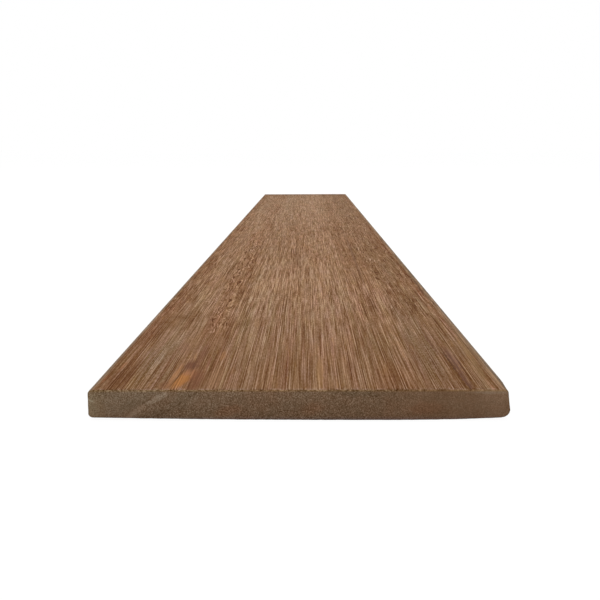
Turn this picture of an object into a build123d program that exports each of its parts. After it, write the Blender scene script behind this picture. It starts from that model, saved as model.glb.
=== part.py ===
from build123d import *
import os

os.makedirs("parts", exist_ok=True)

# Sizes in millimetres
board_length = 2400
board_width = 280
board_thickness = 21
arris_radius = 3  # round planed along the four long edges
end_break = 0.6  # sharp sawn edges of the two ends, taken off at 45 degrees

# The board lies flat, with its show face up and its underside at Z = 0.
# Its length and grain run along Y, half of it each side of the origin.
with BuildPart() as hardwood_board:
    # The planed section, standing on the ground line
    with BuildSketch(Plane.XZ) as planed_section:
        Rectangle(board_width, board_thickness, align=(Align.CENTER, Align.MIN))
        fillet(planed_section.vertices(), radius=arris_radius)
    extrude(amount=board_length / 2, both=True)

    # Both ends are cut square, and the edge round each cut is broken
    sawn_ends = hardwood_board.faces().filter_by(Axis.Y)
    chamfer(sawn_ends.edges(), length=end_break)

hardwood_board.part.label = "hardwood_board"
export_step(hardwood_board.part, "parts/hardwood_board.step")
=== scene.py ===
from math import cos, pi, radians, sin
from types import SimpleNamespace

import bpy
from mathutils import Matrix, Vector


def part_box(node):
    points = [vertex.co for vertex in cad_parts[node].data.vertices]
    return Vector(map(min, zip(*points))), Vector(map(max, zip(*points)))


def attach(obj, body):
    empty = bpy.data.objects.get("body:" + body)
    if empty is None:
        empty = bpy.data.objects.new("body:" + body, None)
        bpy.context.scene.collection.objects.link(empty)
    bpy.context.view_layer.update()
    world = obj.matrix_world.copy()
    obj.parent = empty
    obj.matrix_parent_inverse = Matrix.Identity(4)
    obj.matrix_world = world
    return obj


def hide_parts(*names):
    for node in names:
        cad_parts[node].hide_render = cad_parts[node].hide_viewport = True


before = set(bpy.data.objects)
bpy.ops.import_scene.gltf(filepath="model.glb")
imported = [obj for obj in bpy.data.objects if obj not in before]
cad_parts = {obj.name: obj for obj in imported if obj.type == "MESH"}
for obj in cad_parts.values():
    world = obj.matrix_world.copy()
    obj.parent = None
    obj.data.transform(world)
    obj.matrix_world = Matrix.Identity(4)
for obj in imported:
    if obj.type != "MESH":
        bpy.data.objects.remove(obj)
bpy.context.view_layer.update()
boardLow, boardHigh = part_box("hardwood_board")
boardSize = boardHigh - boardLow
mm = 0.001
white = (1, 1, 1, 1)


class Wire:
    # A node's output that takes part in Python expressions: each operation adds its node to the tree
    def __init__(self, tree, socket):
        self.tree = tree
        self.socket = socket

    @staticmethod
    def node(tree, kind, settings=None, values=None, output=0):
        # Makes any node: its settings first, then the values or links of its sockets
        made = tree.nodes.new(kind)
        for name, value in (settings or {}).items():
            if name == "stops":
                ramp = made.color_ramp
                while len(ramp.elements) < len(value):
                    ramp.elements.new(0.5)
                for element, (place, colour) in zip(ramp.elements, value):
                    element.position = place
                    element.color = (*colour, 1)
            else:
                setattr(made, name, value)
        for key, value in (values or {}).items():
            if isinstance(value, Wire):
                tree.links.new(value.socket, made.inputs[key])
            else:
                made.inputs[key].default_value = value
        return Wire(tree, made.outputs[output]) if made.outputs else None

    def outputs(self, *names):
        return [Wire(self.tree, self.socket.node.outputs[name]) for name in names]

    def math(self, operation, *others, clamp=False):
        settings = {"operation": operation, "use_clamp": clamp}
        return Wire.node(self.tree, "ShaderNodeMath", settings, dict(enumerate((self, *others))))

    def __add__(self, other):
        return self.math("ADD", other)

    def __mul__(self, other):
        return self.math("MULTIPLY", other)

    def __sub__(self, other):
        return self.math("SUBTRACT", other)

    def __rsub__(self, other):
        return Wire.node(self.tree, "ShaderNodeMath", {"operation": "SUBTRACT"}, {0: other, 1: self})

    def __truediv__(self, other):
        return self.math("DIVIDE", other)

    def __pow__(self, other):
        return self.math("POWER", other)

    def __gt__(self, other):
        return self.math("GREATER_THAN", other)

    def __lt__(self, other):
        return self.math("LESS_THAN", other)

    __radd__ = __add__
    __rmul__ = __mul__

    def clamped(self):
        return self.math("ADD", 0.0, clamp=True)

    def smooth(self, low, high):
        # 0 up to low, 1 from high, with an eased step between; low may be the larger
        settings = {"interpolation_type": "SMOOTHSTEP"}
        values = {"Value": self, "From Min": low, "From Max": high}
        return Wire.node(self.tree, "ShaderNodeMapRange", settings, values)

    def split(self):
        return Wire.node(self.tree, "ShaderNodeSeparateXYZ", None, {0: self}).outputs("X", "Y", "Z")


def joinVector(tree, x, y, z):
    return Wire.node(tree, "ShaderNodeCombineXYZ", None, {0: x, 1: y, 2: z})


def mixColour(tree, factor, first, second, blend="MIX"):
    settings = {"data_type": "RGBA", "blend_type": blend, "clamp_factor": True}
    return Wire.node(tree, "ShaderNodeMix", settings, {0: factor, 6: first, 7: second}, output=2)


def noise(tree, x, y, z, detail=1.0, roughness=0.5):
    values = {"Vector": joinVector(tree, x, y, z), "Scale": 1.0, "Detail": detail, "Roughness": roughness}
    return Wire.node(tree, "ShaderNodeTexNoise", {"noise_dimensions": "3D"}, values)


def stretched(tree, x, y, z, shape):
    # Noise drawn out along the grain, half of its strength up and half of it down. "shift" gives it a part
    # of the noise to itself.
    if "shift" in shape:
        x = x + shape["shift"]
    width, detail, roughness = shape["width"], shape.get("detail", 1.0), shape.get("roughness", 0.5)
    drawn = noise(tree, x / width, y / shape["length"], z / width, detail, roughness) - 0.5
    return drawn * shape["strength"] if "strength" in shape else drawn


# The log that the board was sawn from, in millimetres. The end grain's bands slope up to the right at the
# left edge, which puts the log's heart above that edge and a little outside it.
log = {
    "heartX": -190.0,
    "heartZ": 190.0,
    "heartWander": 9.0,            # how far the heart wanders along the board, sideways and up
    "wanderLength": 900.0,
    "wanderSeeds": ((0.3, 7.1), (4.7, 2.9)),    # a row of the noise for each of the two
    # how far a growth layer strays from its circle
    "wavering": {"width": 45.0, "length": 260.0, "detail": 2.0, "roughness": 0.55, "strength": 1.6},
}


def growthAt(tree, x, y, z):
    # How far out from the heart a point grew. Shared by the relief and the colour, so that they agree.
    along = y / log["wanderLength"]
    sideways, upwards = log["wanderSeeds"]
    heartX = log["heartX"] + log["heartWander"] * (noise(tree, along, *sideways) - 0.5)
    heartZ = log["heartZ"] + log["heartWander"] * (noise(tree, along, *upwards) - 0.5)
    out = ((x - heartX) ** 2.0 + (z - heartZ) ** 2.0).math("SQRT")
    return out + stretched(tree, x, y, z, log["wavering"])


# The board's skin. Lengths in metres.
boardPlan = {
    # the inputs of its geometry tree
    "inputs": {
        "Length": boardSize.y,
        "Width": boardSize.x,
        "Thickness": boardSize.z,
        "Arris radius": 3.0 * mm,
        "End break": 0.6 * mm,
        "Lower break": 0.45,           # the share of the end break that the ends have along the underside
        "Break ragged": 0.55,          # how much the end break comes and goes along the saw cut
        "Underside rise": 1.92 * mm,   # how much thinner the board is at its long edges, all of it below
        "Lowest at": 60.0 * mm,        # right of the middle, where the underside touches the floor
        "Right lean": 1.3 * mm,        # how far the right edge leans in at its top beside the near end
        "Lean length": 26.0 * mm,
        "Worn radius": 2.8 * mm,       # added to the lower right arris, which is knocked at the near end
        "Worn length": 14.0 * mm,
        "Face columns": 104,           # in half the width of a face
        "Arris columns": 4,
        "Edge columns": 4,             # in half the height of an edge
        "End rings": 8,
        "Rows": 84,                    # in half the length
        "Row grading": 1.45,           # over 1 crowds the rows towards the ends
        "Grain relief": 0.10 * mm,
        "End share": 0.02,             # part of the map's height that each sawn end takes
    },
    "risePower": 2.3,              # over 1 keeps the underside's rise near the edges
    "leanFrom": 0.3,               # the right edge's lean starts at this share of the thickness
    "leanOver": 0.55,              # and is whole this much higher
    "leanPower": 8.0,              # keeps the lean close to the edge
    # the noise that makes the end break ragged, in millimetres; the shifts give each end, each face and
    # the edges a part of it to themselves
    "ragged": {"length": 3.0, "detail": 3.0, "roughness": 0.7},
    "endShift": 9.0,
    "faceShift": 5.0,
    "edgeShift": 6.0,
    # the relief of the grain, in millimetres: the noise's values on its ridges and in its grooves
    "ridges": {"width": 3.2, "length": 700.0, "height": 300.0, "detail": 2.0, "roughness": 0.6},
    "ridgeTop": 0.7,
    "grooveFoot": 0.3,
    "mergeDistance": 0.01 * mm,
}


def addInputs(tree, values):
    # Gives a geometry tree its output, an input for each value and one for a material, and returns the
    # inputs' wires by name
    tree.interface.new_socket("Geometry", in_out="OUTPUT", socket_type="NodeSocketGeometry")
    for name, value in values.items():
        kind = "NodeSocketInt" if isinstance(value, int) else "NodeSocketFloat"
        tree.interface.new_socket(name, in_out="INPUT", socket_type=kind)
    tree.interface.new_socket("Material", in_out="INPUT", socket_type="NodeSocketMaterial")
    names = (*values, "Material")
    return dict(zip(names, Wire.node(tree, "NodeGroupInput").outputs(*names)))


def boardTree():
    plan = boardPlan
    tree = bpy.data.node_groups.new("boardShape", "GeometryNodeTree")
    given = addInputs(tree, plan["inputs"])
    faceColumns, arrisColumns = given["Face columns"], given["Arris columns"]
    edgeColumns, endRings = given["Edge columns"], given["End rings"]
    radius, endShare = given["Arris radius"], given["End share"]
    halfLength, halfWidth = given["Length"] / 2.0, given["Width"] / 2.0
    halfHeight = given["Thickness"] / 2.0

    # A flat grid: its columns will go round the section and its rows from one end's middle to the other's
    quarter = faceColumns + arrisColumns + edgeColumns
    halfRows = endRings + given["Rows"] + 1.0
    around, along = quarter * 4.0, halfRows * 2.0
    grid = Wire.node(tree, "GeometryNodeMeshGrid", None, {
        "Size X": around, "Size Y": along, "Vertices X": around + 1.0, "Vertices Y": along + 1.0,
    })
    gridX, gridY, _ = Wire.node(tree, "GeometryNodeInputPosition").split()
    column = (gridX + around / 2.0).math("ROUND")
    row = (gridY + along / 2.0).math("ROUND")

    # Each quarter of the section runs from the middle of a face, round an arris, to the middle of an edge
    inQuarter = column.math("PINGPONG", quarter)
    acrossFace = (inQuarter / faceColumns).clamped()
    turn = ((inQuarter - faceColumns) / arrisColumns).clamped()
    downEdge = ((inQuarter - faceColumns - arrisColumns) / edgeColumns).clamped()
    rightSide = (column > quarter * 2.0) * 2.0 - 1.0
    upper = (column > quarter) * (column < quarter * 3.0)
    upperSide = upper * 2.0 - 1.0
    farSide = (row > halfRows) * 2.0 - 1.0

    # The saw left its edge ragged: the break comes and goes along it, and is less along the underside
    alongCut = rightSide * acrossFace * halfWidth / mm
    shape = plan["ragged"]
    ragged = noise(
        tree, alongCut / shape["length"], farSide * plan["endShift"],
        upperSide * plan["faceShift"] + downEdge * plan["edgeShift"], shape["detail"], shape["roughness"],
    )
    ragged = ragged * 2.0 - 1.0
    endBreak = given["End break"] * (1.0 - (1.0 - given["Lower break"]) * (1.0 - upper))
    endBreak = endBreak * (1.0 + ragged * given["Break ragged"])

    # Rows of an end are the section's outline drawn inwards, the first of them down to its middle line
    inHalf = row.math("PINGPONG", halfRows)
    overEnd = (inHalf / endRings).clamped()
    overBreak = (inHalf - endRings).clamped()
    inset = (halfHeight + (endBreak - halfHeight) * overEnd) * (1.0 - overBreak)
    runIn = ((inHalf - endRings - 1.0) / given["Rows"]).clamped() ** given["Row grading"]
    out = (halfLength - endBreak * overBreak) - (halfLength - endBreak) * runIn

    # Knocks and lean at the near end's right: they fade along the board
    fromNear = halfLength + farSide * out
    onRight = column > quarter * 2.0
    worn = onRight * (1.0 - upper) * fromNear.smooth(given["Worn length"], 0.0)
    rounded = radius + worn * given["Worn radius"]
    corner = (rounded - inset).math("MAXIMUM", 0.0)
    shrunk = inset.math("MAXIMUM", rounded)
    x = (halfWidth - shrunk) * acrossFace + corner * (turn * pi / 2.0).math("SINE")
    z = (halfHeight - shrunk) * (1.0 - downEdge) + corner * (turn * pi / 2.0).math("COSINE")
    fromLowest = rightSide * x - given["Lowest at"]
    reach = halfWidth - given["Lowest at"] * ((fromLowest > 0.0) * 2.0 - 1.0)
    bowed = (fromLowest.math("ABSOLUTE") / reach) ** plan["risePower"]
    rise = given["Underside rise"] * bowed * (1.0 - upper) * (z / halfHeight)
    height = halfHeight + upperSide * z
    leaning = ((height / given["Thickness"] - plan["leanFrom"]) / plan["leanOver"]).clamped()
    leaning = leaning * (x / halfWidth) ** plan["leanPower"] * onRight
    lean = given["Right lean"] * leaning * fromNear.smooth(given["Lean length"], 0.0)
    place = joinVector(tree, rightSide * x - lean, farSide * out, height + rise)

    # The map of the whole skin: the girth across it, the length up it, a strip at top and bottom for the ends
    girth = (halfWidth - radius) + (halfHeight - radius) + radius * pi / 2.0
    run = (halfWidth - radius) * acrossFace + radius * pi / 2.0 * turn + (halfHeight - radius) * downEdge
    falling = (column - onRight * quarter * 2.0) > quarter
    mapX = (onRight * girth * 2.0 + run + falling * (girth - run) * 2.0) / (girth * 4.0)
    mapHalf = endShare * (1.0 - inset / halfHeight) + (0.5 - endShare) * (1.0 - out / halfLength)
    beyond = row > halfRows
    mapY = mapHalf + beyond * (1.0 - mapHalf * 2.0)

    mapped = Wire.node(tree, "GeometryNodeStoreNamedAttribute", {"data_type": "FLOAT2", "domain": "CORNER"}, {
        "Geometry": grid, "Name": "OFBake", "Value": joinVector(tree, mapX, mapY, 0.0),
    })
    bent = Wire.node(tree, "GeometryNodeSetPosition", None, {"Geometry": mapped, "Position": place})
    closed = Wire.node(tree, "GeometryNodeMergeByDistance", None, {
        "Geometry": bent, "Distance": plan["mergeDistance"],
    })

    # Growth layers stand a little proud of the softer wood between them, all of it inside the planed faces
    point = Wire.node(tree, "GeometryNodeInputPosition")
    normal = Wire.node(tree, "GeometryNodeInputNormal")
    px, py, pz = [part / mm for part in point.split()]
    grown = growthAt(tree, px, py, pz)
    shape = plan["ridges"]
    ridges = noise(
        tree, grown / shape["width"], py / shape["length"], pz / shape["height"],
        shape["detail"], shape["roughness"],
    )
    depth = ridges.smooth(plan["ridgeTop"], plan["grooveFoot"]) * given["Grain relief"] * -1.0
    sink = Wire.node(tree, "ShaderNodeVectorMath", {"operation": "SCALE"}, {0: normal, "Scale": depth})
    grooved = Wire.node(tree, "GeometryNodeSetPosition", None, {"Geometry": closed, "Offset": sink})

    smooth = Wire.node(tree, "GeometryNodeSetShadeSmooth", None, {"Geometry": grooved, "Shade Smooth": True})
    real = Wire.node(tree, "GeometryNodeRealizeInstances", None, {"Geometry": smooth})
    finished = Wire.node(tree, "GeometryNodeSetMaterial", None, {
        "Geometry": real, "Material": given["Material"],
    })
    Wire.node(tree, "NodeGroupOutput", None, {"Geometry": finished})
    return tree


def growMesh(name, tree, values):
    # Runs a geometry tree once and keeps the result as a plain mesh object
    blank = bpy.data.objects.new(name + "Maker", bpy.data.meshes.new(name + "Maker"))
    bpy.context.scene.collection.objects.link(blank)
    modifier = blank.modifiers.new("shape", "NODES")
    modifier.node_group = tree
    sockets = {item.name: item.identifier for item in tree.interface.items_tree if item.in_out == "INPUT"}
    for label, value in values.items():
        modifier[sockets[label]] = value
    blank.update_tag()
    ready = blank.evaluated_get(bpy.context.evaluated_depsgraph_get())
    mesh = bpy.data.meshes.new_from_object(ready)
    mesh.name = name
    bpy.data.objects.remove(blank)
    made = bpy.data.objects.new(name, mesh)
    bpy.context.scene.collection.objects.link(made)
    return made


def makeBoard(material):
    board = growMesh("board", boardTree(), {**boardPlan["inputs"], "Material": material})
    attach(board, "root")
    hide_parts("hardwood_board")
    return board


# The wood. Colours are linear, as the planed face shows them in plain light. Lengths are in millimetres,
# x across the board from its middle, z up from its underside, "fromNear" along it from the end that the
# camera sees. What fades in starts at "from" and is whole at "to", and either may be the larger. A noise
# has a width across the grain and a length along it, and may have a detail, a roughness and a strength.
woodPlan = {
    # from the darkest vessel to the palest fibre, each with its place on the scale of tones
    "planedTones": [
        (0.00, (0.083, 0.022, 0.001)), (0.20, (0.134, 0.054, 0.013)), (0.40, (0.198, 0.097, 0.042)),
        (0.60, (0.275, 0.152, 0.081)), (0.80, (0.366, 0.219, 0.131)), (1.00, (0.471, 0.300, 0.194)),
    ],
    "sawnTones": [
        (0.10, (0.074, 0.033, 0.011)), (0.30, (0.131, 0.072, 0.035)), (0.50, (0.208, 0.128, 0.074)),
        (0.70, (0.305, 0.203, 0.131)), (0.90, (0.425, 0.299, 0.209)),
    ],
    "middleTone": 0.489,
    # what one step of red and one of yellow adds to a colour's red, green and blue, as a share
    "redder": (0.062, -0.042, -0.090),
    "yellower": (0.06, 0.01, -0.26),
    "sawnFace": {"from": 0.9, "to": 0.2},    # how near to an end the wood looks sawn
    # the planed wood darkens towards both ends; far off it is painted paler and less red, a painted sheen of
    # the grazing view
    "nearDarkening": {"length": 260, "tone": 0.085},
    "farPaintedSheen": {"from": 700, "to": 1900, "tone": 0.035, "red": 0.35},
    "wander": {"width": 22, "length": 300, "strength": 2},
    # noises drawn out along the grain: specks, fibres, short fibres, streaks and soft stripes;
    # "far" is their strength away from the near end, "sawn" on a sawn end, both as a share
    "grain": [
        {"width": 0.8, "length": 6, "strength": 0.65, "far": 1.6, "sawn": 1.3},
        {"width": 0.72, "length": 120, "strength": 1.45, "far": 1.1, "sawn": 0.60},
        {"width": 1.3, "length": 40, "strength": 0.28, "far": 4.6, "sawn": 1.7},
        {"width": 1.8, "length": 220, "strength": 0.26, "far": 1.7, "sawn": 1.3},
        {"width": 5, "length": 400, "strength": 0.09, "far": 1.7, "sawn": 0.6},
    ],
    "farGrain": {"from": 90, "to": 350},
    # vessels, cut open along the planed faces: long thin lines, dark or filled with something pale, each
    # in a lane of its own; "share" is how many of the lanes have one
    "vessels": [
        {"width": 1.3, "length": 110, "share": 0.48, "tone": 0.52, "seed": 3},
        {"width": 1.6, "length": 140, "share": 0.48, "tone": -0.46, "seed": 41},
        {"width": 0.9, "length": 50, "share": 0.40, "tone": 0.38, "seed": 97},
    ],
    "laneLean": 1.7,               # how far the lanes shift to the left for each millimetre up
    # how all such lines lie in their lanes, in shares of a lane's width and of a line's length
    "line": {
        "stagger": 9,            # how far the lines of one lane may start from those of another, in lengths
        "placeFrom": 0.32, "placeRange": 0.36,
        "shuffle": 37,           # turns a line's first chance into another one, for its place
        "thinning": 1.1,           # the widest lines are 1 and this times as wide as the thinnest
        "sideFrom": 0.35, "sideTo": 0.15,
        "tipFrom": 0.5, "tipTo": 0.2,
    },
    "layers": {"width": 5, "length": 520, "detail": 3, "roughness": 0.6, "strength": 0.20},
    "clouds": {"width": 34, "length": 300, "detail": 2, "roughness": 0.55, "strength": 0.05},
    "redDrift": {
        "shift": 300, "width": 22, "length": 170, "detail": 3, "roughness": 0.7, "strength": 2.2,
    },
    "yellowDrift": {
        "shift": 500, "width": 8, "length": 45, "detail": 2, "roughness": 0.6, "strength": 1.25,
    },
    "rosyStripes": {"shift": 900, "width": 4.4, "length": 190, "red": 2.8, "yellow": -1.7},
    "rosyFade": {"from": 150, "to": 600, "share": 0.45},
    # bands of the log, by how far out they grew; red below 0 is olive
    "bands": [
        {"from": 150, "to": 183, "soft": 3, "tone": -0.15, "red": 0.15},
        {"from": 184, "to": 197, "soft": 3, "tone": -0.01, "red": -0.15},
        {"from": 196, "to": 209, "soft": 2, "tone": -0.02, "red": 0.20},
        {"from": 214, "to": 234, "soft": 4, "tone": 0.02, "red": -0.25},
        {"from": 258, "to": 291, "soft": 7, "tone": 0.04, "red": 0},
        {"from": 296, "to": 315, "soft": 4, "tone": -0.06, "red": 0.10},
        {"from": 323, "to": 362, "soft": 6, "tone": -0.095, "red": -0.20},
        {"from": 361, "to": 380, "soft": 2.5, "tone": -0.13, "red": 0.15},
    ],
    "bandFray": {"width": 4, "length": 60, "detail": 2, "strength": 6},
    # the same as a sawn end shows them
    "sawnBands": [
        {"from": 150, "to": 196, "soft": 4, "tone": 0.07, "red": -0.6},
        {"from": 205.5, "to": 212, "soft": 2.5, "tone": -0.04, "red": -0.2},
        {"from": 232, "to": 250, "soft": 7, "tone": 0, "red": 0.4},
        {"from": 262, "to": 292, "soft": 9, "tone": -0.02, "red": 0.2},
        {"from": 300, "to": 345, "soft": 12, "tone": 0.02, "red": 0.6},
        {"from": 345, "to": 390, "soft": 9, "tone": 0.05, "red": 0.5},
    ],
    # streaks and stains of a sawn end: place, half size, slope up to the right in degrees, tone and red
    "sawnStreaks": [
        {"x": -92.9, "z": 15.2, "wide": 1.9, "long": 7.5, "turn": 29, "tone": 0.22, "red": -0.5},
        {"x": -107.2, "z": 6.6, "wide": 1.5, "long": 9, "turn": 36, "tone": 0.15, "red": 0.1},
        {"x": -137, "z": 11, "wide": 4, "long": 12, "turn": 90, "tone": 0.07, "red": -0.3},
        {"x": -109.4, "z": 11.5, "wide": 3.4, "long": 17, "turn": 32, "tone": -0.02, "red": -0.2},
        {"x": -76, "z": 14, "wide": 5, "long": 11, "turn": 24, "tone": 0.05, "red": -0.3},
        {"x": -108, "z": 6, "wide": 4, "long": 24, "turn": 5, "tone": 0.045, "red": -0.1},
        {"x": 62, "z": 18, "wide": 4, "long": 58, "turn": 0, "tone": -0.045, "red": -0.2},
        {"x": -138.6, "z": 13.8, "wide": 0.5, "long": 2.4, "turn": -25, "tone": 0.40, "red": -0.6},
        {"x": 38, "z": 18.3, "wide": 1.7, "long": 17, "turn": -3, "tone": -0.04, "red": -0.4},
        {"x": 127, "z": 19.3, "wide": 1.3, "long": 14, "turn": 0, "tone": 0.10, "red": -0.6},
        {"x": -47, "z": 6.4, "wide": 3.2, "long": 8, "turn": 12, "tone": -0.01, "red": 1.2},
        {"x": 9, "z": 8, "wide": 4, "long": 7, "turn": 8, "tone": 0, "red": 1},
        {"x": 84, "z": 8, "wide": 4, "long": 12, "turn": 5, "tone": 0, "red": 0.9},
    ],
    "streakFray": 1.2,
    "streakSoft": 0.5,
    # a sawn end has the saw's fine upright lines, drifts in red and loses much of the planed shades
    "sawLines": {"width": 0.8, "height": 7, "strength": 0.22},
    "sawnDrift": {"width": 7, "length": 60, "detail": 2, "strength": 1.4},
    "shadesLost": 0.6,
    # where it is smoother: towards the right, and low down at the left
    "smootherRight": {"from": 30, "to": 112, "share": 0.62},
    "smootherLeft": {"from": -98, "to": -112, "share": 0.4},
    "smootherLow": {"from": 15, "to": 8},
    # its shades by height; those with "below" are measured down from the top
    # painted light: the foot of a sawn end is painted lighter, to offset the shade on its lower break
    "sawnFootPaintedLight": {"from": 2.2, "to": 0.6, "tone": 0.04},
    "sawnRise": {"from": 7, "toBelow": 1, "tone": 0.07},
    "sawnTop": {"fromBelow": 1.6, "toBelow": 0.4, "fray": 2.2, "tone": 0.01},
    "sawnWarmTop": {"fromBelow": 2.2, "toBelow": 0.6, "red": 0.5, "yellow": 0.7},
    "sawnDullFoot": {"from": 3, "to": 0.8, "yellow": 1},
    "sawnWarmLeft": {"from": -124, "to": -136, "yellow": 0.35},
    "fraying": {"width": 2.2, "length": 20, "detail": 3, "roughness": 0.65},
    # the rim that the saw frayed along the planed top, paler and less yellow
    "rim": {"from": 4.2, "to": 0.8, "fromBelow": 1.5, "toBelow": 0.5, "tone": 0.10, "yellow": 0.7},
    "rimTufts": {"width": 6, "length": 60, "detail": 3, "roughness": 0.7, "strength": 2},
    # flecks of red and of yellow, most of them near the board's edges
    "flecks": {"shift": 700, "width": 3.2, "length": 38},
    "fleckEdges": {"from": 118, "to": 132},
    "redFlecks": {"from": 0.10, "to": 0.22, "atEdges": 1.3, "anywhere": 0.2},
    "yellowFlecks": {"from": -0.14, "to": -0.24, "atEdges": 0.6, "near": 0.6},
    "yellowNear": {"from": 330, "to": 60},
    # the nearer half is a little yellower, but not the last stretch before the near end
    "goldenHalf": {"from": 1300, "to": 700, "yellow": 0.12},
    "dullStretch": {"from": 420, "to": 120, "yellow": 0.15},
    # thin dark seams, again by how far out they grew
    "seams": [
        {"at": 209.4, "width": 0.7, "tone": -0.32},
        {"at": 205.8, "width": 0.6, "tone": -0.14},
        {"at": 305.5, "width": 0.9, "tone": -0.16},
    ],
    "seamWander": {"width": 20, "length": 90, "detail": 2, "strength": 1.2},
    "seamGaps": {"width": 30, "length": 160, "from": 0.26, "to": 0.50},
    # where the grain interlocks and is cut into short curled flecks
    "curls": {
        "width": 2.2, "length": 14, "detail": 2, "roughness": 0.55, "strength": 0.50,
        "sway": {"width": 6, "length": 26, "strength": 11},
        # near flecks and the longer ones further off
        "lines": [
            {"width": 3.2, "length": 27, "share": 1, "tone": -0.95, "seed": 11},
            {"width": 2.7, "length": 24, "share": 0.90, "tone": 0.64, "seed": 23},
        ],
        "farLines": [
            {"width": 4.2, "length": 56, "share": 1, "tone": -0.85, "seed": 67},
            {"width": 4, "length": 44, "share": 0.90, "tone": 0.55, "seed": 71},
        ],
        "fartherOff": {"from": 280, "to": 520},
        "bands": [
            {"from": 197, "to": 207, "start": 175, "finish": 950, "share": 1},
            {"from": 322, "to": 364, "start": 420, "finish": 2300, "share": 0.5},
        ],
        "bandSoft": 2, "startSoft": 60,
        # how strong they are outside the bands, and in which patches
        "anywhere": 0.42,
        "patches": {"width": 60, "length": 330, "from": 0.38, "to": 0.60},
        "patchSeed": 5,
        "calming": 0.45,           # how much of the straight grain they take the place of
    },
    # mottled places, with no run to the grain, and others with fine waves across it
    "mottled": [
        {"x": 98, "fromNear": 130, "wide": 12, "long": 115, "strength": 0.8},
        {"x": -106, "fromNear": 95, "wide": 11, "long": 70, "strength": 0.7},
        {"x": -96, "fromNear": 20, "wide": 7, "long": 26, "strength": 0.7},
    ],
    "mottling": {"width": 1.5, "length": 5, "detail": 2, "roughness": 0.65, "strength": 1.5},
    "mottledLoses": {"grain": 0.35, "red": 0.5, "yellow": 0.35},
    "waved": [
        {"x": -113, "fromNear": 235, "wide": 14, "long": 60, "strength": 0.9},
        {"x": 70, "fromNear": 640, "wide": 22, "long": 130, "strength": 0.6},
    ],
    "waves": {"width": 15, "length": 9, "strength": 0.55},
    "waveArcs": {"turn": 0.16, "height": 5},    # radians for each millimetre across
    "wavedLoses": 0.4,
    "placeSoft": 0.6,
    # how ragged the borders of all spots are
    "borders": {"width": 3, "length": 16, "detail": 3, "roughness": 0.6, "strength": 0.9},
    # soft blotches of the planed face: place, half size and change of tone
    "blotches": [
        {"x": -5, "fromNear": 520, "wide": 60, "long": 170, "tone": 0.05},
        {"x": 83, "fromNear": 335, "wide": 7, "long": 55, "tone": 0.12},
        {"x": -40, "fromNear": 760, "wide": 26, "long": 120, "tone": -0.03},
        {"x": -74, "fromNear": 95, "wide": 7, "long": 36, "tone": -0.05},
        {"x": 130, "fromNear": 42, "wide": 9, "long": 62, "tone": 0.19},
        {"x": 114.5, "fromNear": 70, "wide": 5, "long": 90, "tone": -0.04},
        {"x": 103, "fromNear": 60, "wide": 5, "long": 70, "tone": 0.07},
        {"x": 0, "fromNear": 130, "wide": 6, "long": 115, "tone": -0.09},
        {"x": 46, "fromNear": 190, "wide": 10, "long": 95, "tone": -0.09},
        {"x": -26, "fromNear": 90, "wide": 4, "long": 45, "tone": -0.08},
        {"x": -13, "fromNear": 195, "wide": 4, "long": 40, "tone": -0.08},
        {"x": -113, "fromNear": 85, "wide": 9, "long": 50, "tone": 0.07},
        {"x": -107, "fromNear": 235, "wide": 12, "long": 45, "tone": -0.08},
        {"x": -105, "fromNear": 345, "wide": 6, "long": 45, "tone": 0.11},
        {"x": -86, "fromNear": 210, "wide": 8, "long": 90, "tone": -0.07},
        {"x": 77, "fromNear": 200, "wide": 5, "long": 75, "tone": 0.07},
        {"x": 112, "fromNear": 330, "wide": 10, "long": 80, "tone": -0.08},
        {"x": -12, "fromNear": 650, "wide": 11, "long": 110, "tone": -0.09},
        {"x": 78, "fromNear": 800, "wide": 7, "long": 300, "tone": -0.08},
        {"x": 14, "fromNear": 1750, "wide": 22, "long": 560, "tone": 0.035},
        {"x": 62, "fromNear": 1650, "wide": 24, "long": 560, "tone": -0.03},
        {"x": 130, "fromNear": 800, "wide": 9, "long": 260, "tone": -0.07},
        {"x": -47, "fromNear": 1000, "wide": 12, "long": 140, "tone": -0.09},
    ],
    "blotchSoft": 0.55,
    # stains, cracks, a seam and a pocket of gum, with colours of their own; "slant" is how far
    # they drift to the right along the board, "jag" how far their sides jump about
    "marks": [
        {"x": -75, "fromNear": 100, "wide": 2.6, "long": 30, "jag": 6, "soft": 0.7,
         "colour": (0.150, 0.062, 0.030), "strength": 0.75},
        {"x": -92, "fromNear": 118, "wide": 4, "long": 20, "slant": -0.1, "jag": 4,
         "colour": (0.203, 0.098, 0.052), "strength": 0.6},
        {"x": -80.7, "fromNear": 26, "wide": 4.6, "long": 24, "slant": 0.10, "jag": 1.5, "soft": 0.5,
         "colour": (0.325, 0.132, 0.036), "strength": 0.95},
        {"x": -78.3, "fromNear": 44, "wide": 3.4, "long": 8, "slant": 0.10, "jag": 1.5, "soft": 0.5,
         "colour": (0.277, 0.122, 0.056), "strength": 0.8},
        {"x": -87.2, "fromNear": 38, "wide": 1.8, "long": 30, "slant": 0.05, "jag": 1.5, "soft": 0.6,
         "colour": (0.300, 0.138, 0.052), "strength": 0.75},
        {"x": -84.4, "fromNear": 34, "wide": 0.55, "long": 27, "slant": 0.07, "jag": 1,
         "colour": (0.125, 0.050, 0.015), "strength": 0.9},
        {"x": -91, "fromNear": 11, "wide": 4, "long": 9, "jag": 2, "soft": 0.6,
         "colour": (0.193, 0.081, 0.034), "strength": 0.6},
        {"x": -73.3, "fromNear": 36, "wide": 2.6, "long": 14, "slant": 0.03, "jag": 3, "soft": 0.6,
         "colour": (0.229, 0.087, 0.037), "strength": 0.8},
        {"x": -69.5, "fromNear": 25, "wide": 4.2, "long": 30, "slant": 0.03, "jag": 4, "soft": 0.6,
         "colour": (0.158, 0.061, 0.026), "strength": 0.8},
        {"x": -79, "fromNear": 65, "wide": 4.6, "long": 15, "slant": 0.05, "jag": 8, "soft": 0.8,
         "colour": (0.128, 0.050, 0.023), "strength": 1},
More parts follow.
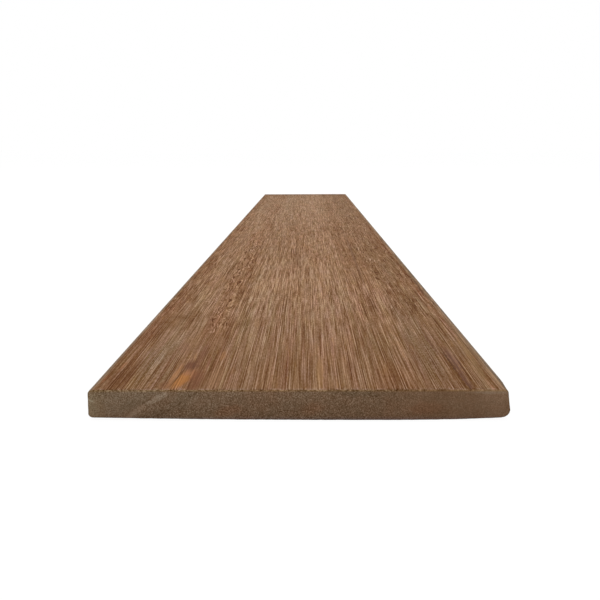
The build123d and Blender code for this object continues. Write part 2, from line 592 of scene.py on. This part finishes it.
        {"x": -67.5, "fromNear": 72, "wide": 1, "long": 16, "jag": 2,
         "colour": (0.170, 0.060, 0.030), "strength": 0.6},
        {"x": -59, "fromNear": 94, "wide": 1.7, "long": 15, "jag": 1,
         "colour": (0.290, 0.130, 0.046), "strength": 0.55},
        {"x": -58, "fromNear": 32, "wide": 5, "long": 30, "jag": 2,
         "colour": (0.218, 0.107, 0.047), "strength": 0.6},
        {"x": 14.8, "fromNear": 48, "wide": 2.6, "long": 38, "slant": 0.01, "jag": 2,
         "colour": (0.270, 0.140, 0.052), "strength": 0.6},
        {"x": 115.8, "fromNear": 84, "wide": 3, "long": 30, "slant": -0.02, "jag": 5, "soft": 0.8,
         "colour": (0.170, 0.084, 0.052), "strength": 0.7},
        {"x": 112.5, "fromNear": 56, "wide": 0.7, "long": 62, "slant": -0.023, "jag": 4.5, "soft": 0.4,
         "colour": (0.092, 0.036, 0.015), "strength": 0.85},
        {"x": 115.2, "fromNear": 60, "wide": 1.2, "long": 44, "slant": -0.02, "jag": 4, "soft": 0.5,
         "colour": (0.130, 0.060, 0.034), "strength": 0.8},
        {"x": 114, "fromNear": 22, "wide": 1.1, "long": 24, "slant": -0.023, "jag": 5, "soft": 0.5,
         "colour": (0.120, 0.052, 0.028), "strength": 0.85},
        {"x": 106, "fromNear": 135, "wide": 0.8, "long": 40, "slant": -0.020, "jag": 4, "soft": 0.5,
         "colour": (0.115, 0.045, 0.022), "strength": 0.8},
        {"x": 74, "fromNear": 800, "wide": 1.2, "long": 380, "slant": 0.003, "jag": 4, "soft": 0.4,
         "colour": (0.165, 0.084, 0.042), "strength": 0.75},
        {"x": 130, "fromNear": 85, "wide": 2.2, "long": 70, "slant": 0.03, "jag": 3, "soft": 0.6,
         "colour": (0.262, 0.155, 0.066), "strength": 0.55},
    ],
    "jags": {"width": 2.6, "length": 9, "detail": 2, "roughness": 0.6},
    "markSoft": 0.35,
    "markDepth": 3,                # how far down the edges and the ends the marks reach
    "markContrast": 0.7,           # how much of the grain shows through a mark
    # the outer skin of the log beside the right edge, greyer than the rest, and a painted shade along both
    # rounded arrises
    "edgeStrip": {"from": 131.5, "to": 134.5, "colour": (0.235, 0.150, 0.085), "strength": 0.55},
    "paintedArrisShade": {"from": 135.2, "to": 137.4, "colour": (0.207, 0.141, 0.091), "strength": 0.9},
    "stripFray": 3,
    "stripContrast": 1.1,
    "roughness": 0.75,
    "specular": 0.05,
    "bumpDepth": 0.04 * mm,        # in metres, unlike the rest
}


def between(value, low, high, soft):
    # 1 from low to high, with soft borders
    return value.smooth(low - soft, low + soft) * value.smooth(high + soft, high - soft)


def lineAt(value, place, width):
    # 1 at one place, fading out on both sides: the two borders leave a quarter of it where they meet
    return between(value, place, place, width) * 4.0


def fading(value, fade):
    return value.smooth(fade["from"], fade["to"])


def nearTop(at, fade):
    return at.z.smooth(at.thickness - fade["fromBelow"], at.thickness - fade["toBelow"])


def patchesOf(tree, x, y, seed, shape):
    # Patches of 1 among others of 0
    return fading(noise(tree, x / shape["width"], y / shape["length"], seed), shape)


def chance(tree, x, y, z):
    # A number of its own, from 0 to 1, for each set of whole numbers
    values = {"Vector": joinVector(tree, x, y, z)}
    return Wire.node(tree, "ShaderNodeTexWhiteNoise", {"noise_dimensions": "3D"}, values)


def linesAlong(tree, across, along, lines):
    # Thin lines in narrow lanes along the grain. Chance says where a lane's lines start and how thin they
    # are, and for each line where in the lane it lies and how strong it is.
    line = woodPlan["line"]
    share = lines["share"]
    lanes = across / lines["width"]
    lane = lanes.math("FLOOR")
    own = chance(tree, lane, lines["seed"], 1.0)
    runs = along / lines["length"] + own * line["stagger"]
    run = runs.math("FLOOR")
    luck = chance(tree, lane, run, lines["seed"])
    strength = (luck - 1.0 + share).math("MAXIMUM", 0.0) / share
    place = (luck * line["shuffle"]).math("FRACT") * line["placeRange"] + line["placeFrom"]
    fromLine = (lanes - lane - place).math("ABSOLUTE") * (own * line["thinning"] + 1.0)
    fromMiddle = (runs - run - 0.5).math("ABSOLUTE")
    shown = fromLine.smooth(line["sideFrom"], line["sideTo"])
    return shown * fromMiddle.smooth(line["tipFrom"], line["tipTo"]) * strength


def spotAt(x, fromNear, borders, spot, soft):
    # 1 inside an oval of the planed face, falling to 0 round its border
    across = (x - (fromNear - spot["fromNear"]) * spot.get("slant", 0.0) - spot["x"]) / spot["wide"]
    along = (fromNear - spot["fromNear"]) / spot["long"]
    away = (across * across + along * along).math("SQRT") + borders
    return away.smooth(1.0 + soft, 1.0 - soft)


def streakAt(x, z, borders, streak, soft):
    # The same on a sawn end, turned up to the right
    turn = radians(streak["turn"])
    toRight, up = x - streak["x"], z - streak["z"]
    along = (toRight * cos(turn) + up * sin(turn)) / streak["long"]
    across = (up * cos(turn) - toRight * sin(turn)) / streak["wide"]
    away = (across * across + along * along).math("SQRT") + borders
    return away.smooth(1.0 + soft, 1.0 - soft)


def shaded(tree, colour, share):
    return mixColour(tree, 1.0, (*colour, 1), joinVector(tree, share, share, share), "MULTIPLY")


def tinted(tree, colour, red, yellow):
    # Red above 0 turns a colour redder and below 0 olive, yellow above 0 turns it yellower
    steps = zip(woodPlan["redder"], woodPlan["yellower"])
    tint = joinVector(tree, *[red * byRed + yellow * byYellow + 1.0 for byRed, byYellow in steps])
    return mixColour(tree, 1.0, colour, tint, "MULTIPLY")


def measurePoint(tree):
    # Where a point of the wood lies. Functions below add their own measures, where others need them too.
    plan = woodPlan
    x, y, z = [part / mm for part in Wire.node(tree, "ShaderNodeTexCoord", output="Object").split()]
    at = SimpleNamespace(x=x, y=y, z=z, here=(x, y, z), thickness=boardSize.z / mm)
    halfLength = boardSize.y / 2 / mm
    at.fromNear = y + halfLength
    at.fromEnd = halfLength - y.math("ABSOLUTE")
    at.onEnd = fading(at.fromEnd, plan["sawnFace"])
    at.grown = growthAt(tree, x, y, z)

    # Fibres never run quite straight: they wander together over a hand's breadth
    at.fibre = x + stretched(tree, x, y, z, plan["wander"])
    at.inFibres = (at.fibre, y, z)
    at.far = fading(at.fromNear, plan["farGrain"])
    return at


def straightGrain(tree, at):
    # Fibres and vessels: how much lighter or darker the wood is for them
    plan = woodPlan
    fine = 0.0
    for layer in plan["grain"]:
        shown = (at.far * (layer["far"] - 1.0) + 1.0) * (1.0 - at.onEnd * (1.0 - layer["sawn"]))
        fine = stretched(tree, *at.inFibres, layer) * shown + fine
    lanesAt = at.fibre + at.z * plan["laneLean"]
    for vessel in plan["vessels"]:
        fine = fine + linesAlong(tree, lanesAt, at.y, vessel) * (1.0 - at.onEnd) * vessel["tone"]
    return fine


def curledFlecks(tree, at):
    curls = woodPlan["curls"]
    swayed = at.fibre + stretched(tree, *at.here, curls["sway"])
    flecks = stretched(tree, swayed, at.y, at.z, curls)
    fartherOff = fading(at.fromNear, curls["fartherOff"])
    for group, shown in ((curls["lines"], 1.0 - fartherOff), (curls["farLines"], fartherOff)):
        for lines in group:
            lanesAt = swayed + at.z * woodPlan["laneLean"]
            flecks = flecks + linesAlong(tree, lanesAt, at.y, lines) * shown * lines["tone"]
    return flecks


def curledPlaces(tree, at):
    curls = woodPlan["curls"]
    patches = patchesOf(tree, at.x, at.y, curls["patchSeed"], curls["patches"])
    curled = at.far * patches * curls["anywhere"]
    for band in curls["bands"]:
        reached = between(at.fromNear, band["start"], band["finish"], curls["startSoft"]) * band["share"]
        curled = between(at.ragged, band["from"], band["to"], curls["bandSoft"]) * reached + curled
    return curled.math("MINIMUM", 1.0) * (1.0 - at.onEnd)


def placesOf(at, spots, soft):
    # Where one kind of place is, from 0 to 1
    places = 0.0
    for spot in spots:
        places = spotAt(at.x, at.fromNear, at.borders, spot, soft) * spot["strength"] + places
    return places


def allGrain(tree, at):
    # The fine grain of the whole board, in tones to be added
    plan = woodPlan
    fine = straightGrain(tree, at)
    flecks = curledFlecks(tree, at)
    at.ragged = at.grown + stretched(tree, *at.inFibres, plan["bandFray"])
    curled = curledPlaces(tree, at)
    fine = fine * (1.0 - curled * plan["curls"]["calming"]) + flecks * curled

    # Places where the grain turns up or waves, and where a sawn end is smoother
    at.borders = stretched(tree, *at.here, plan["borders"])
    at.mottled = placesOf(at, plan["mottled"], plan["placeSoft"])
    waved = placesOf(at, plan["waved"], plan["placeSoft"])
    specks = stretched(tree, *at.here, plan["mottling"])
    arcs = at.y + (at.x * plan["waveArcs"]["turn"]).math("SINE") * plan["waveArcs"]["height"]
    waves = stretched(tree, at.x, arcs, at.z, plan["waves"])
    smoother = fading(at.x, plan["smootherRight"]) * plan["smootherRight"]["share"]
    smootherLeft = fading(at.x, plan["smootherLeft"]) * fading(at.z, plan["smootherLow"])
    at.smoother = smoother + smootherLeft * plan["smootherLeft"]["share"]
    fine = fine * (1.0 - at.smoother * at.onEnd)
    fine = fine * (1.0 - at.mottled * plan["mottledLoses"]["grain"]) * (1.0 - waved * plan["wavedLoses"])
    return fine + specks * at.mottled + waves * waved


def planedShades(tree, at):
    # The broad shades of the planed faces: lighter, redder and yellower than the middle tone
    plan = woodPlan
    layers = stretched(tree, at.grown, at.y, at.z, plan["layers"])
    broad = stretched(tree, *at.here, plan["clouds"]) + layers
    red = stretched(tree, *at.inFibres, plan["redDrift"])
    yellow = stretched(tree, *at.inFibres, plan["yellowDrift"])
    rosy = stretched(tree, *at.inFibres, plan["rosyStripes"])
    rosy = rosy * (1.0 - fading(at.fromNear, plan["rosyFade"]) * plan["rosyFade"]["share"])
    red = red + rosy * plan["rosyStripes"]["red"]
    yellow = yellow + rosy * plan["rosyStripes"]["yellow"]
    for band in plan["bands"]:
        within = between(at.ragged, band["from"], band["to"], band["soft"])
        broad = broad + within * band["tone"]
        red = red + within * band["red"]
    for seam in plan["seams"]:
        wander = at.grown + stretched(tree, *at.here, plan["seamWander"])
        broken = patchesOf(tree, at.x, at.y, seam["at"], plan["seamGaps"])
        broad = broad + lineAt(wander, seam["at"], seam["width"]) * broken * seam["tone"]
    for blotch in plan["blotches"]:
        broad = broad + spotAt(at.x, at.fromNear, at.borders, blotch, plan["blotchSoft"]) * blotch["tone"]
    broad = broad - at.fromEnd.smooth(plan["nearDarkening"]["length"], 0.0) * plan["nearDarkening"]["tone"]
    # Painted sheen: far off, the planed faces are painted paler and less red, as the grazing view would gleam
    paintedSheen = fading(at.fromNear, plan["farPaintedSheen"])
    broad = broad + paintedSheen * plan["farPaintedSheen"]["tone"]
    red = red - paintedSheen * plan["farPaintedSheen"]["red"]
    return broad, red, yellow


def sawnShades(tree, at):
    # The same for the sawn ends: their bands and streaks, and the saw's fine upright lines
    plan = woodPlan
    saw = plan["sawLines"]
    upright = noise(tree, at.x / saw["width"], 0.0, at.z / saw["height"])
    tone = (upright * saw["strength"] - saw["strength"] / 2) * (1.0 - at.smoother)
    red = stretched(tree, *at.here, plan["sawnDrift"])
    for band in plan["sawnBands"]:
        within = between(at.ragged, band["from"], band["to"], band["soft"])
        tone = within * band["tone"] + tone
        red = red + within * band["red"]
    at.frayed = stretched(tree, *at.here, plan["fraying"])
    for streak in plan["sawnStreaks"]:
        within = streakAt(at.x, at.z, at.frayed * plan["streakFray"], streak, plan["streakSoft"])
        tone = within * streak["tone"] + tone
        red = red + within * streak["red"]
    rise, top = plan["sawnRise"], plan["sawnTop"]
    # Painted light at the foot of the end, against the shade on the lower break
    tone = tone + fading(at.z, plan["sawnFootPaintedLight"]) * plan["sawnFootPaintedLight"]["tone"]
    tone = tone + at.z.smooth(rise["from"], at.thickness - rise["toBelow"]) * rise["tone"]
    tone = tone + nearTop(at, top) * (at.frayed * top["fray"] + top["tone"])
    return tone, red


def addFlecks(tree, at, rim, red, yellow):
    # Red and yellow flecks, and how yellow the planed wood is along the board
    plan = woodPlan
    spots = stretched(tree, *at.inFibres, plan["flecks"])
    at.fromMiddle = at.x.math("ABSOLUTE")
    nearEdge = fading(at.fromMiddle, plan["fleckEdges"])
    reds, yellows, loses = plan["redFlecks"], plan["yellowFlecks"], plan["mottledLoses"]
    red = red + fading(spots, reds) * (nearEdge * reds["atEdges"] + reds["anywhere"])
    red = red - at.mottled * loses["red"]
    yellow = yellow - rim * plan["rim"]["yellow"]
    yellow = yellow + fading(at.fromNear, plan["goldenHalf"]) * plan["goldenHalf"]["yellow"]
    yellow = yellow - fading(at.fromNear, plan["dullStretch"]) * plan["dullStretch"]["yellow"]
    yellow = yellow - at.mottled * loses["yellow"]
    shown = fading(spots, yellows)
    near = fading(at.fromNear, plan["yellowNear"])
    return red, yellow + shown * (near * yellows["near"] + nearEdge * yellows["atEdges"])


def planedColour(tree, at, tone, fine, red, yellow):
    plan = woodPlan
    planed = Wire.node(tree, "ShaderNodeValToRGB", {"stops": plan["planedTones"]}, {0: tone})
    planed = tinted(tree, planed, red, yellow)
    grey = fine * plan["stripContrast"] + 1.0
    # The log's outer skin beside the right edge, then the painted shade along both rounded arrises
    for place, strip in ((at.x, plan["edgeStrip"]), (at.fromMiddle, plan["paintedArrisShade"])):
        within = fading(place + at.frayed * plan["stripFray"], strip) * strip["strength"]
        planed = mixColour(tree, within, planed, shaded(tree, strip["colour"], grey))
    calm = fine * plan["markContrast"] + 1.0
    topOnly = at.z.smooth(at.thickness - plan["markDepth"], at.thickness - plan["markDepth"] / 2)
    jags = stretched(tree, *at.here, plan["jags"])
    for mark in plan["marks"]:
        soft = mark.get("soft", plan["markSoft"])
        within = spotAt(at.x + jags * mark["jag"], at.fromNear, at.borders, mark, soft)
        within = within * topOnly * mark["strength"]
        planed = mixColour(tree, within, planed, shaded(tree, mark["colour"], calm))
    return planed


def sawnColour(tree, at, tone, red):
    plan = woodPlan
    sawn = Wire.node(tree, "ShaderNodeValToRGB", {"stops": plan["sawnTones"]}, {0: tone})
    warm, foot, left = plan["sawnWarmTop"], plan["sawnDullFoot"], plan["sawnWarmLeft"]
    warmth = nearTop(at, warm)
    red = red + warmth * warm["red"]
    yellow = warmth * warm["yellow"] - fading(at.z, foot) * foot["yellow"]
    yellow = yellow + fading(at.x, left) * left["yellow"]
    return tinted(tree, sawn, red, yellow)


def makeWood():
    plan = woodPlan
    material = bpy.data.materials.new("planedHardwood")
    material.use_nodes = True
    tree = material.node_tree
    tree.nodes.clear()
    at = measurePoint(tree)
    fine = allGrain(tree, at)
    broad, red, yellow = planedShades(tree, at)
    sawnTone, sawnRed = sawnShades(tree, at)

    # The saw frayed the planed top's rim
    rim = fading(at.fromEnd, plan["rim"]) * (1.0 - at.onEnd) * nearTop(at, plan["rim"])
    broad = broad + rim * (stretched(tree, *at.here, plan["rimTufts"]) + plan["rim"]["tone"])

    tone = fine + broad * (1.0 - at.onEnd * plan["shadesLost"]) + at.onEnd * sawnTone + plan["middleTone"]
    red, yellow = addFlecks(tree, at, rim, red, yellow)
    planed = planedColour(tree, at, tone, fine, red, yellow)
    sawn = sawnColour(tree, at, tone, sawnRed)
    colour = mixColour(tree, at.onEnd, planed, sawn)
    bump = Wire.node(tree, "ShaderNodeBump", None, {
        "Strength": 1.0, "Distance": plan["bumpDepth"], "Height": fine,
    })
    shader = Wire.node(tree, "ShaderNodeBsdfPrincipled", None, {
        "Base Color": colour, "Roughness": plan["roughness"], "Normal": bump,
        "Specular IOR Level": plan["specular"],
    })
    Wire.node(tree, "ShaderNodeOutputMaterial", None, {"Surface": shader})
    return material


# The photograph's view point, behind the near end of the board
cameraPlan = {
    "frameWidth": 600,             # pixels
    "focalLength": 849,            # pixels, like the width
    "sensorWidth": 36.0,           # mm
    "standBack": 0.541,            # metres, like the next two
    "aside": 0.0057,
    "height": 0.1781,
    "tiltDown": 10.163,            # degrees, like the next two
    "turnLeft": 0.488,
    "lean": -0.204,
    "clipEnd": 100.0,
}


def placeCamera():
    plan = cameraPlan
    data = bpy.data.cameras.new("camera")
    data.sensor_width = plan["sensorWidth"]
    data.lens = plan["focalLength"] / plan["frameWidth"] * plan["sensorWidth"]
    data.clip_end = plan["clipEnd"]
    camera = bpy.data.objects.new("camera", data)
    bpy.context.scene.collection.objects.link(camera)
    camera.matrix_world = (
        Matrix.Translation((plan["aside"], boardLow.y - plan["standBack"], plan["height"]))
        @ Matrix.Rotation(radians(plan["turnLeft"]), 4, "Z")
        @ Matrix.Rotation(radians(90 - plan["tiltDown"]), 4, "X")
        @ Matrix.Rotation(radians(plan["lean"]), 4, "Z")
    )
    bpy.context.scene.camera = camera


# A white studio with one soft lamp. Lengths in metres, power in watts.
studioPlan = {
    "floorSize": 60.0,
    "floorColour": (0.80, 0.80, 0.80),
    "floorWhiteness": 0.9,         # how much of what the camera sees of the floor is plain white
    "floorGlow": 1.06,             # makes up for the part that is lit as the shadow needs
    "skyLight": 0.55,
    "lampPower": 95.0,
    "lampSize": 4.0,
    "lampPlace": (-0.8, 0.2, 3.4),
}


def whiteToEye(tree):
    # 1 for what the camera sees, straight or in a mirror or through glass, and 0 for the light on the wood
    rays = ("Is Camera Ray", "Is Glossy Ray", "Is Transmission Ray")
    camera, glossy, through = Wire.node(tree, "ShaderNodeLightPath").outputs(*rays)
    return camera.math("MAXIMUM", glossy).math("MAXIMUM", through)


def makeStudio():
    plan = studioPlan
    half = plan["floorSize"] / 2
    corners = [(-half, -half, 0), (half, -half, 0), (half, half, 0), (-half, half, 0)]
    mesh = bpy.data.meshes.new("floor")
    mesh.from_pydata(corners, [], [(0, 1, 2, 3)])
    floor = bpy.data.objects.new("floor", mesh)
    bpy.context.scene.collection.objects.link(floor)
    material = bpy.data.materials.new("paleFloor")
    material.use_nodes = True
    tree = material.node_tree
    tree.nodes.clear()
    matte = Wire.node(tree, "ShaderNodeBsdfDiffuse", None, {"Color": (*plan["floorColour"], 1)})
    glow = Wire.node(tree, "ShaderNodeEmission", None, {"Color": white, "Strength": plan["floorGlow"]})
    mixed = Wire.node(tree, "ShaderNodeMixShader", None, {
        0: whiteToEye(tree) * plan["floorWhiteness"], 1: matte, 2: glow,
    })
    Wire.node(tree, "ShaderNodeOutputMaterial", None, {"Surface": mixed})
    mesh.materials.append(material)

    world = bpy.data.worlds.new("studio")
    bpy.context.scene.world = world
    world.use_nodes = True
    tree = world.node_tree
    tree.nodes.clear()
    strength = plan["skyLight"] + whiteToEye(tree) * (1.0 - plan["skyLight"])
    sky = Wire.node(tree, "ShaderNodeBackground", None, {"Color": white, "Strength": strength})
    Wire.node(tree, "ShaderNodeOutputWorld", None, {"Surface": sky})

    data = bpy.data.lights.new("softBox", "AREA")
    data.energy = plan["lampPower"]
    data.size = plan["lampSize"]
    lamp = bpy.data.objects.new("softBox", data)
    lamp.location = plan["lampPlace"]
    bpy.context.scene.collection.objects.link(lamp)
    bpy.context.scene.view_settings.view_transform = "Standard"


placeCamera()
print("camera placed")
wood = makeWood()
print("wood material made")
board = makeBoard(wood)
print("board made:", len(board.data.polygons), "faces,", len(board.data.vertices), "vertices")
makeStudio()
print("studio made")
